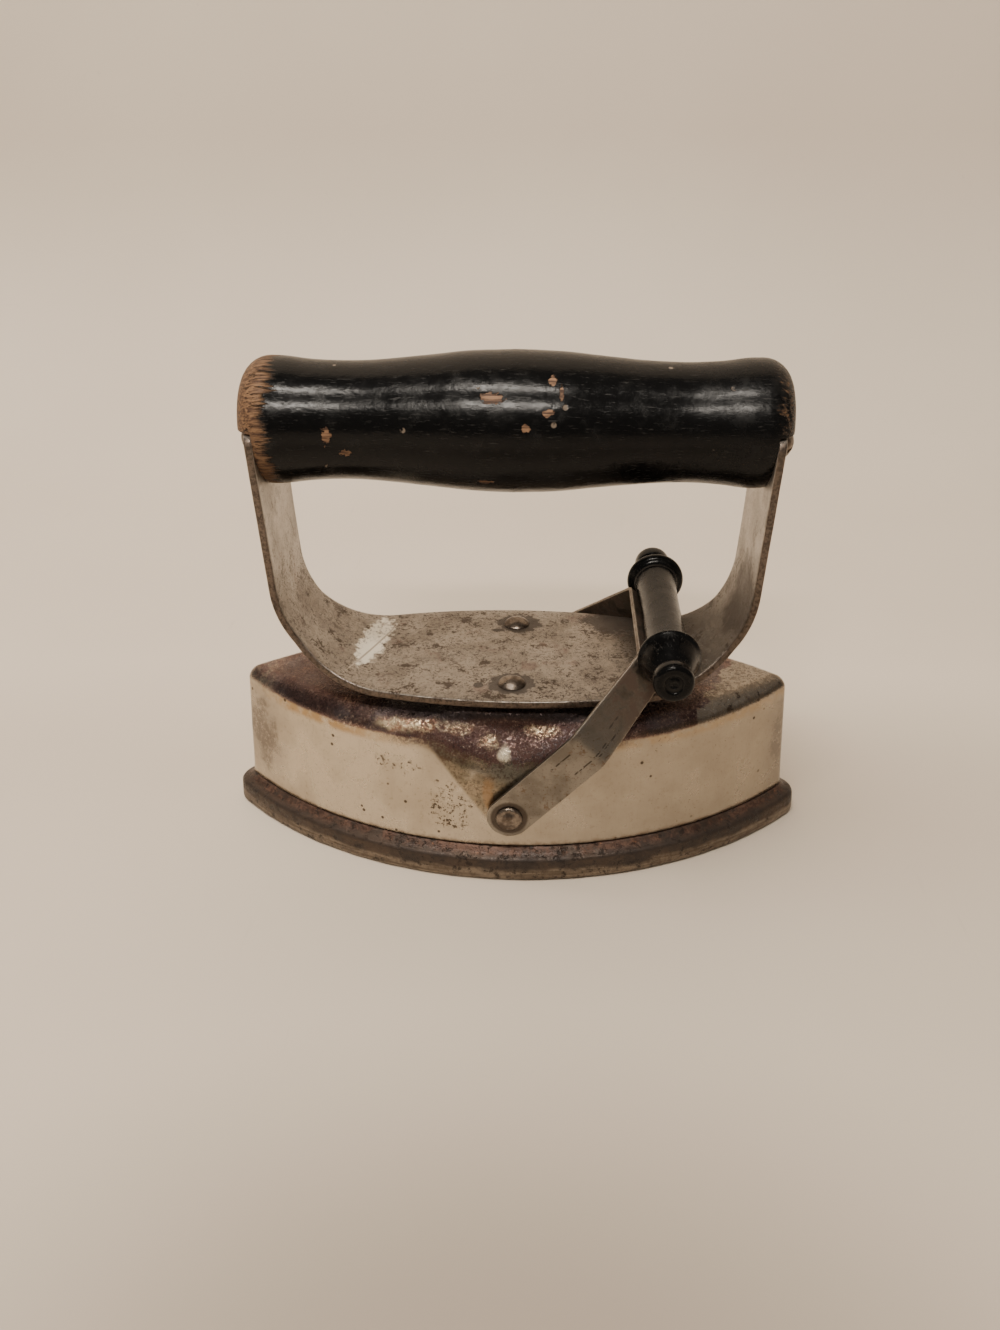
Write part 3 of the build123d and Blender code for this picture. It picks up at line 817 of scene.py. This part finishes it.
def hood_skin(inset, wall_rings, shoulder_rings, top_rings):
    """Rings of one skin of the hood from the rim up and over the shoulder to the middle of the top."""
    steps = (240, 22)
    size = 2 * sum(steps)
    top = HOOD_TOP - inset
    crease_sine, crease_cosine = math.sin(CREASE_START), math.cos(CREASE_START)
    across = [lens_point(*hood_section(HOOD_TOP, inset), *steps, k)[0] for k in range(size)]
    rings = []
    for ring in range(wall_rings + shoulder_rings + 1):
        points = []
        for k in range(size):
            tall = shoulder_height(across[k])
            if ring <= wall_rings:
                z = HOOD_RIM + (top - tall - HOOD_RIM) * ring / wall_rings
                inward = 0
            else:
                turn = CREASE_START + (math.pi / 2 - CREASE_START) * (ring - wall_rings) / shoulder_rings
                radius = tall / (1 - crease_sine)
                z = top - radius * (1 - math.sin(turn))
                inward = radius * (crease_cosine - math.cos(turn))
            x, y = lens_point(*hood_section(z, inset + inward), *steps, k)
            if abs(y) > 1:
                limit = wall_y(x, z, inset) - flute_depth(x, z)
                y = math.copysign(soft_min(abs(y), limit, 0.7), y)
            points.append((x, y, z))
        rings.append(points)
    edge = rings[-1]
    for k in range(1, top_rings + 1):
        share = 1 - (k / top_rings)**1.15 * 0.985
        rings.append([(x * share, y * share, top) for x, y, z in edge])
    return rings


def build_hood(material):
    """Sheet hood: a dented outer skin over a plain inner one, with the holes of the pivot pins."""
    def dents(point):
        wall = min(1, max(0, (point[2] - HOOD_RIM) / 3))
        top = min(1, max(0, (point[2] - 36) / 5))
        push = wall * (0.09 * wave(point, 17, 1) + 0.03 * wave(point, 5, 2)) - 0.1 * wall
        return push, top * (0.06 * wave(point, 9, 4) - 0.06)

    outer = hood_skin(0, 30, 16, 12)
    roughen(outer, 0.3, dents)
    inner = hood_skin(HOOD_SHEET, 10, 8, 4)
    rim = [(x * 0.9985, y * 0.9985, HOOD_RIM) for x, y, z in outer[0]]
    outer[0] = [(x, y, HOOD_RIM + 0.14) for x, y, z in outer[0]]
    make_piece("hood_body", loft(inner[::-1] + [rim] + outer), "hood", "hood_shell", material, 40,
               [prism(circle(PIVOT.z, PIN_HOLE, 345, 23), -40, 40)])


# ------------------------ cast core

def core_ring(half_length, half_width, tip, z):
    steps = (200, 22)
    points = (lens_point(half_length, half_width, tip, *steps, k) for k in range(2 * sum(steps)))
    return [(x, y, z) for x, y in points]


def build_core(material):
    """Flange, block and the two side sockets with their slots, in one rough casting."""
    # flange, as (inset, z), from the sole up its rounded side and in over the ledge
    profile = [(9, 0), (3, 0), (0.95, 0)]
    profile += [(0.9 - 0.9 * s, 0.9 - 0.9 * c) for s, c in turns(20, 45, 70, 90)]
    profile += [(0, 1.8), (0.04, 2.9), (0.08, 3.9), (0.14, 4.8)]
    profile += [(1.5 - 1.36 * c, 5.2 + 1.36 * s) for s, c in turns(15, 35, 55, 72)]
    profile += [(1.75, 6.78), (2.3, 7.25), (2.8, 7.75), (3.2, 8.12), (3.7, 8.25), (5.5, 8.27), (8, 8.27)]
    length, width, tip = SOLE_LENS
    rings = [core_ring(length - inset * 1.25, width - inset, max(tip - inset * 0.5, 1), z) for inset, z in profile]
    # block, as (share of the draft, z), and its rounded top edge
    length, width, tip = BLOCK_LENS
    for share, z in ((0, 9.2), (0.2, 14), (0.45, 20), (0.75, 26), (0.92, 29)):
        pull = BLOCK_DRAFT * share
        rings.append(core_ring(length - pull, width - pull, tip, z))
    for s, c in turns(20, 45, 70, 90):
        drop, pull = 2 * (1 - s), 2 * (1 - c)
        inset = BLOCK_DRAFT + pull
        rings.append(core_ring(length - inset, width - inset, tip - pull, BLOCK_TOP - drop))

    def casting(point):
        if point[2] <= 0:
            return 0, 0
        push = 0.11 * wave(point, 6, 3) + 0.07 * wave(point, 2.2, 5) - 0.15
        return push, 0.04 * wave(point, 4, 6) if point[2] > 5 else 0

    roughen(rings, 0.4, casting)
    slot = [(-2.5, PIVOT.z), (2.5, PIVOT.z), (2.5, BLOCK_TOP + 3), (-2.5, BLOCK_TOP + 3)]
    cutters = [prism(outline, *reach) for reach in ((-31.6, -23.6), (23.6, 31.6))
               for outline in (circle(PIVOT.z, SOCKET_RADIUS, 350, 35), slot)]
    make_piece("cast_core", loft(rings), "core", "iron_core", material, 50, cutters)


# ------------------------ handle strap

def strap_path():
    """Line of the strap's outer face from left to right, as (x, z, inward x, inward z)."""
    foot = STRAP_REACH - (STRAP_TOP - STRAP_BOTTOM) * math.tan(STRAP_LEAN)
    bend = 90 - math.degrees(STRAP_LEAN)
    flat = foot - STRAP_BEND * math.tan(math.radians(bend / 2))
    path = [(flat * k / 40, STRAP_BOTTOM, 0, 1) for k in range(41)]
    for s, c in turns(*(bend * k / 48 for k in range(1, 49))):
        path.append((flat + STRAP_BEND * s, STRAP_BOTTOM + STRAP_BEND * (1 - c), -s, c))
    end_x, end_z = path[-1][:2]
    out, up = math.sin(STRAP_LEAN), math.cos(STRAP_LEAN)
    reach = (STRAP_TOP - end_z) / up
    steps = [k / 36 for k in range(1, 33)] + [0.9 + 0.1 * s for s, c in turns(*range(10, 91, 10))]
    path += [(end_x + reach * t * out, end_z + reach * t * up, -up, out) for t in steps]
    return [(-x, z, -inward_x, inward_z) for x, z, inward_x, inward_z in path[:0:-1]] + path


def strap_half_width(x, z):
    """Half width, narrowed on an arc towards the legs, with rounded corners at the top."""
    radius = (STRAP_WAIST**2 + STRAP_NARROWING**2) / (2 * STRAP_NARROWING)
    width = STRAP_HALF_WIDTH - radius + math.sqrt(radius * radius - min(abs(x), STRAP_WAIST)**2)
    past = z - (STRAP_TOP - STRAP_CORNER)
    if past > 0:
        width -= STRAP_CORNER - math.sqrt(max(STRAP_CORNER**2 - past**2, 0))
    return width


def build_strap(material):
    """Bent strip with rounded, nicked edges that sways a little, but for the flat under the rivets."""
    edge = 0.45
    rings = []
    for x, z, inward_x, inward_z in strap_path():
        half = strap_half_width(x, z)
        curve = [(edge * math.sin(a), edge * math.cos(a)) for a in (0.5, 1)]
        corner = [(half - edge + s, STRAP_SHEET - edge + c) for s, c in curve]
        corner += [(half, STRAP_SHEET - edge), (half, edge)]
        corner += [(half - edge + c, edge - s) for s, c in curve]
        ring = []
        for y, depth in strip_ring(half, edge, STRAP_SHEET, 34, STRAP_SHEET, corner):
            nick = 0.07 * wave((x, y, z), 2.3, 7) if abs(abs(y) - half) < 0.6 else 0
            if z > 46.3 or abs(x) > 12:
                depth += min(0.1 * wave((x, y * 0.5, z), 15, 8) - 0.02, 0.05) if z < 100 else 0
            ring.append((x + inward_x * depth, y - math.copysign(abs(nick), y), z + inward_z * depth))
        rings.append(ring)
    make_piece("handle_strap_body", loft(rings), "hood", "handle_strap", material, 38)


# ------------------------ grip

def build_grip(material):
    """Turned grip, notched at both ends for the legs, with softened edges."""
    end = GRIP_END - 6.5  # where the rounded end starts
    half = smooth_curve([(0, 16.3), (10, 15.95), (20, 14.95), (30, 14), (39, 13.6), (47, 13.95), (52.5, 14.6),
                         (end, 14.75)], 8)
    half += [(end + 6.5 * s, 8.2 + 6.55 * c) for s, c in turns(*range(10, 91, 10))]
    half += [(GRIP_END, 6.5), (62.48, 4), (62.46, 1.2)]

    def ripple(along, radius, u, v):
        return 0.1 * wave((along, 6 * u, 6 * v), 9, 11) - 0.1 if radius > 5 else 0

    turned = lathe(mirrored(half), 128, lambda along, u, v: (along, u, GRIP_AXIS + v), ripple)
    inner = STRAP_REACH - STRAP_SHEET / math.cos(STRAP_LEAN) - 0.05
    low_inner = inner - 23.1 * math.tan(STRAP_LEAN)
    notch = [(inner, NOTCH_Z), (70, NOTCH_Z), (70, 84), (low_inner, 84)]
    cutters = [prism(notch, -20, 20), prism([(-x, z) for x, z in reversed(notch)], -20, 20)]
    piece = make_piece("grip_body", turned, "hood", "grip", material, 40, cutters)
    bevel = piece.modifiers.new("soft edges", "BEVEL")
    bevel.width = 0.35 * MM
    bevel.segments = 2
    bevel.limit_method = "ANGLE"
    bevel.angle_limit = math.radians(45)
    bevel.harden_normals = False


def mirrored(half):
    """Whole profile from its right half, which starts at the middle."""
    return [(-along, radius) for along, radius in half[:0:-1]] + half


# ------------------------ bail and spool

def fillet_path(corners, radii, step):
    """Points along straight runs joined by arcs, with the unit normal to the right of travel."""
    points = []
    last = len(corners) - 1
    start = Vector(corners[0])
    for i in range(1, last + 1):
        corner = Vector(corners[i])
        back = (Vector(corners[i - 1]) - corner).normalized()
        if i == last:
            stop = corner
        else:
            ahead = (Vector(corners[i + 1]) - corner).normalized()
            half = back.angle(ahead) / 2
            cut = radii[i - 1] / math.tan(half)
            stop = corner + back * cut
        count = max(2, int((stop - start).length / step))
        travel = -back
        for k in range(count + (1 if i == last else 0)):
            points.append((start + (stop - start) * k / count, Vector((travel.y, -travel.x))))
        if i == last:
            break
        centre = corner + (back + ahead).normalized() * (radii[i - 1] / math.sin(half))
        sweep = math.pi - 2 * half
        side = 1 if travel.x * ahead.y - travel.y * ahead.x > 0 else -1
        steps = max(6, int(radii[i - 1] * sweep / 0.4))
        spoke = stop - centre
        for k in range(steps):
            a = side * sweep * k / steps
            s, c = math.sin(a), math.cos(a)
            turned = Vector((spoke.x * c - spoke.y * s, spoke.x * s + spoke.y * c))
            heading = Vector((travel.x * c - travel.y * s, travel.x * s + travel.y * c))
            points.append((centre + turned, Vector((heading.y, -heading.x))))
        start = corner + ahead * cut
    return points


def bail_half_width(up):
    """Round below the pivot, even up the arm, a little narrower above the knee."""
    if up < 0:
        return max(math.sqrt(max(BAIL_HALF_WIDTH**2 - up**2, 0.25)), 0.5)
    return BAIL_HALF_WIDTH - max(up - BAIL_KNEE, 0) / 23


def build_bail(material):
    """U of strip: two arms with round ends and the web between them, leaning as it rests."""
    corners = [(-BAIL_REACH, 0), (-BAIL_REACH, BAIL_KNEE), (-BAIL_WEB, BAIL_TOP),
               (BAIL_WEB, BAIL_TOP), (BAIL_REACH, BAIL_KNEE), (BAIL_REACH, 0)]
    path = [(Vector((-BAIL_REACH, -BAIL_HALF_WIDTH * c)), Vector((1, 0))) for s, c in turns(*range(4, 90, 7))]
    path += fillet_path(corners, [6, 3, 3, 6], 1.1)
    path += [(Vector((BAIL_REACH, -BAIL_HALF_WIDTH * s)), Vector((-1, 0))) for s, c in turns(*range(7, 90, 7))]
    rings = []
    for point, inward in path:
        half = bail_half_width(point.y)
        trim = min(0.28, half * 0.4)
        corner = [(half - trim * 0.3, trim * 0.3), (half, trim),
                  (half, BAIL_SHEET - trim), (half - trim * 0.3, BAIL_SHEET - trim * 0.3)]
        ring = []
        for along, depth in strip_ring(half, trim, BAIL_SHEET, 12, 0, corner):
            spot = (along, point.x, point.y)
            flat = point + inward * (depth + 0.035 + 0.035 * wave(spot, 8, 13))
            nick = 0.05 * wave(spot, 2, 14) if abs(abs(along) - half) < 0.1 else 0
            ring.append(leaning(along - math.copysign(abs(nick), along), flat.x, flat.y))
        rings.append(ring)
    make_piece("bail_body", loft(rings), "bail", "bail_strap", material, 38)


def build_spool(material):
    """Turned spool, flattened below where it lies on the web."""
    half = smooth_curve([(0, 4.9), (6, 4.93), (12, 5.05), (17, 5.25), (20, 5.45)], 4)
    half += smooth_curve([(20.6, 5.75), (21, 6.25), (21.35, 6.95), (22, 7.42), (22.75, 7.45), (23.4, 7.05),
                          (24.2, 6.62), (26, 5.95), (28, 5.05), (29.4, 4.25), (30.1, 3.9)], 4)
    half += smooth_curve([(30.3, 3.85), (30.7, 4), (31, 4.45), (31.8, 4.68), (33, 4.8), (34, 4.75), (34.7, 4.45),
                          (35.05, 3.95), (35.15, 3.2)], 3)
    half += [(35.12, 2.5), (35, 2.25), (34.8, 2.05), (34.78, 1.7), (34.95, 1.45), (35, 1), (34.8, 0.7),
             (34.7, 0.25)]

    def ripple(along, radius, u, v):
        return 0.05 * wave((along, 4 * u, 4 * v), 4, 15) - 0.05 if radius > 3 else 0

    turned = lathe(mirrored(half), 72, lambda along, u, v: leaning(u, along, SPOOL_AXIS + v), ripple)
    seat = box(leaning, (-9, 9), (-20.2, 20.2), (40, BAIL_TOP + 0.05))
    make_piece("spool_body", turned, "bail", "spool", material, 40, [seat])


# ------------------------ fasteners

def dome(radius, rise, rim):
    """Profile of a domed head from its seat up to its middle, as (height, radius)."""
    crown = 8
    cap = (radius * radius + (rise - rim)**2) / (2 * (rise - rim))
    points = [(0, radius * 0.97), (0.12, radius), (rim, radius)]
    full = math.asin(min(1, radius / cap))
    for k in range(1, crown + 1):
        a = full * (1 - k / (crown + 0.6))
        points.append((rise - cap * (1 - math.cos(a)), cap * math.sin(a)))
    return points


def fastener(node, body, material, profile, shank, origin, outward, side, slot=None, segments=48, seed=0):
    """Turned head on a (radius, length) shank. A slot is (width, depth, height of the head)."""
    outward = Vector(outward).normalized()
    side = Vector(side)
    side = (side - outward * side.dot(outward)).normalized()
    other = outward.cross(side)
    radius, length = shank
    full = [(-length, radius * 0.6), (-length + 0.3, radius), (-0.02, radius)] + profile

    def to_world(along, u, v):
        return tuple(Vector(origin) + outward * along + side * u + other * v)

    def ripple(along, radius, u, v):
        return 0.1 * wave((along * 2, radius * u, radius * v), 1.8, 20 + seed) - 0.07 if along >= 0.2 else 0

    cutters = []
    if slot:
        width, depth, height = slot
        cutters.append(box(lambda u, v, along: to_world(along, u, v), (-8, 8), (-width / 2, width / 2),
                           (height - depth, height + 2)))
    make_piece(node + "_body", lathe(full, segments, to_world, ripple), body, node, material, 40,
               cutters)


def build_fasteners(material):
    rivet = [(0, 3.2), (0.15, 3.45)] + dome(3.45, 1.95, 0.3)[2:]
    pin = [(0, 3), (0.12, 3.25), (0.45, 3.3), (0.75, 3.1), (0.9, 2.7), (0.92, 2.3), (1, 2), (1.3, 1.6), (1.42, 1),
           (1.45, 0.4)]
    web_normal = PIVOT - Vector(leaning(0, 0, 1))
    for side, word in ((-1, "front"), (1, "back")):
        fastener("strap_rivet_" + word, "hood", material, rivet, (1.8, 11.4),
                 (0, side * RIVET_Y, STRAP_BOTTOM + STRAP_SHEET + 0.02), (0, 0, 1), (1, 0, 0), seed=side * 2)
        fastener("pivot_pin_" + word, "bail", material, pin, (1.6, 9),
                 (0, side * BAIL_REACH, PIVOT.z), (0, side, 0), (1, 0, 0), seed=side * 3)
        fastener("spool_screw_" + word, "bail", material, dome(2.4, 1.3, 0.3), (1.3, 5.5),
                 leaning(0, side * SPOOL_SCREW_Y, BAIL_TOP - BAIL_SHEET), web_normal, (0, 1, 0),
                 slot=(0.5, 0.6, 1.3), segments=32, seed=side * 4)
    at = STRAP_REACH - (STRAP_TOP - GRIP_SCREW_Z) * math.tan(STRAP_LEAN)
    for side, word in ((-1, "left"), (1, "right")):
        fastener("grip_screw_" + word, "hood", material, dome(4.5, 4.35, 0.6), (1.7, 20),
                 (side * at, 0, GRIP_SCREW_Z), (side * math.cos(STRAP_LEAN), 0, -math.sin(STRAP_LEAN)),
                 (0, 1, 0.4), slot=(0.9, 1.7, 4.35), seed=side * 5)


# ------------------------ build

steel = rivet_steel()
build_hood(nickel_hood())
build_core(cast_iron())
build_strap(strap_steel())
# bare spots of the grip, as (centre, radii)
grip_chips = [
    ((-4.4, -13.4, 115.4), (2.6, 3, 1)),
    ((8.8, -10.9, 118.5), (0.8, 3, 1)),
    ((10.8, -12.4, 116.2), (0.45, 2.5, 1.6)),
    ((8, -14.5, 112.6), (1.2, 2.5, 0.7)),
    ((3, -15.6, 109.6), (0.9, 2.5, 0.7)),
    ((-41.5, -13, 106.6), (1, 2.5, 1.9)),
    ((-37.4, -13.2, 102.8), (1.3, 2.5, 0.7)),
    ((-6.2, -12.5, 96), (1.6, 2.5, 0.6)),
]
build_grip(enamel("grip_enamel", grip_chips, GRIP_END, 0, 0.35))
build_bail(bail_steel())
build_spool(enamel("spool_enamel", [], None, 1, 0.5))
build_fasteners(steel)

# the small hidden parts keep their CAD meshes
board = mineral_board()
for node, material in (("side_liner", board), ("top_liner", board), ("liner_plate", tinplate()),
                       ("strap_spacer_front", steel), ("strap_spacer_back", steel),
                       ("rivet_washer_front", steel), ("rivet_washer_back", steel),
                       ("latch_key_front", steel), ("latch_key_back", steel)):
    dress(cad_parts[node], material)


# ------------------------ stage, light and camera

def build_stage():
    """Pale floor that sweeps up into a backdrop."""
    start, bend = 230, 150  # where the floor turns up, and the radius of the turn
    profile = [(-900, 0), (-300, 0), (0, 0), (start, 0)]
    profile += [(start + bend * s, bend - bend * c) for s, c in turns(*range(10, 91, 10))]
    profile += [(385, 600), (388, 1500)]
    vertices = [(x, y, z) for y, z in profile for x in (-1400, 1400)]
    faces = [(k, k + 1, k + 3, k + 2) for k in range(0, 2 * len(profile) - 2, 2)]
    stage = mesh_object("backdrop", vertices, faces)
    stage.data.materials.append(floor_paint())
    for polygon in stage.data.polygons:
        polygon.use_smooth = True


def build_viewer():
    """Dark panel where a photographer stands: it shades the near floor and shows dark in the shoulder."""
    corners = [(-170, -320, 360), (210, -320, 360), (250, -750, 750), (-210, -750, 750)]
    panel = mesh_object("viewer", corners, [(0, 1, 2, 3)])
    p = Paint("viewer")
    cloth = p.mix(p.noise(200), (0.03, 0.028, 0.026), (0.05, 0.046, 0.042))
    panel.data.materials.append(p.finish(cloth, 0.9))
    panel.visible_camera = False


def area_light(name, place, aim, size, power):
    """Warm rectangular lamp. Place, aim and size are in metres."""
    light = bpy.data.lights.new(name, "AREA")
    light.shape = "RECTANGLE"
    light.size, light.size_y = size
    light.energy = power
    light.color = (1, 0.92, 0.82)
    lamp = link(name, light)
    lamp.location = place
    lamp.rotation_euler = (Vector(aim) - Vector(place)).to_track_quat("-Z", "Y").to_euler()
    return lamp


def build_light():
    """Dim room, a broad lamp overhead and two tubes that draw the streaks on the grip."""
    world = bpy.data.worlds.new("room")
    world.use_nodes = True
    bpy.context.scene.world = world
    room = world.node_tree.nodes["Background"]
    room.inputs["Color"].default_value = (0.55, 0.49, 0.43, 1)
    room.inputs["Strength"].default_value = 0.34
    overhead = area_light("overhead", (-0.65, -0.02, 1.35), (0, 0.05, 0), (1.5, 1.2), 30.5)
    overhead.visible_glossy = False
    area_light("tube_low", (-0.085, -0.8, 0.83), (0, 0, 0.08), (0.42, 0.06), 8.6)
    area_light("tube_high", (-0.085, -0.36, 1.13), (0, 0, 0.08), (0.42, 0.06), 7)


def build_camera():
    """Camera solved from the photograph's outline of the iron."""
    azimuth, pitch, roll = math.radians(3.053), math.radians(28.553), math.radians(-0.391)
    target, distance = Vector((-3.735, 0, 42.281)), 282.267
    back = Vector((math.sin(azimuth) * math.cos(pitch), -math.cos(azimuth) * math.cos(pitch), math.sin(pitch)))
    right = (-back).cross(Vector((0, 0, 1))).normalized()
    up = right.cross(-back)
    right, up = right * math.cos(roll) + up * math.sin(roll), up * math.cos(roll) - right * math.sin(roll)
    data = bpy.data.cameras.new("camera")
    data.lens = 29.4
    data.sensor_width = 36
    data.clip_start = 0.01
    camera = link("camera", data)
    turn = Matrix((right, up, back)).transposed().to_4x4()
    camera.matrix_world = Matrix.Translation((target + back * distance) * MM) @ turn
    bpy.context.scene.camera = camera


build_stage()
build_viewer()
build_light()
build_camera()
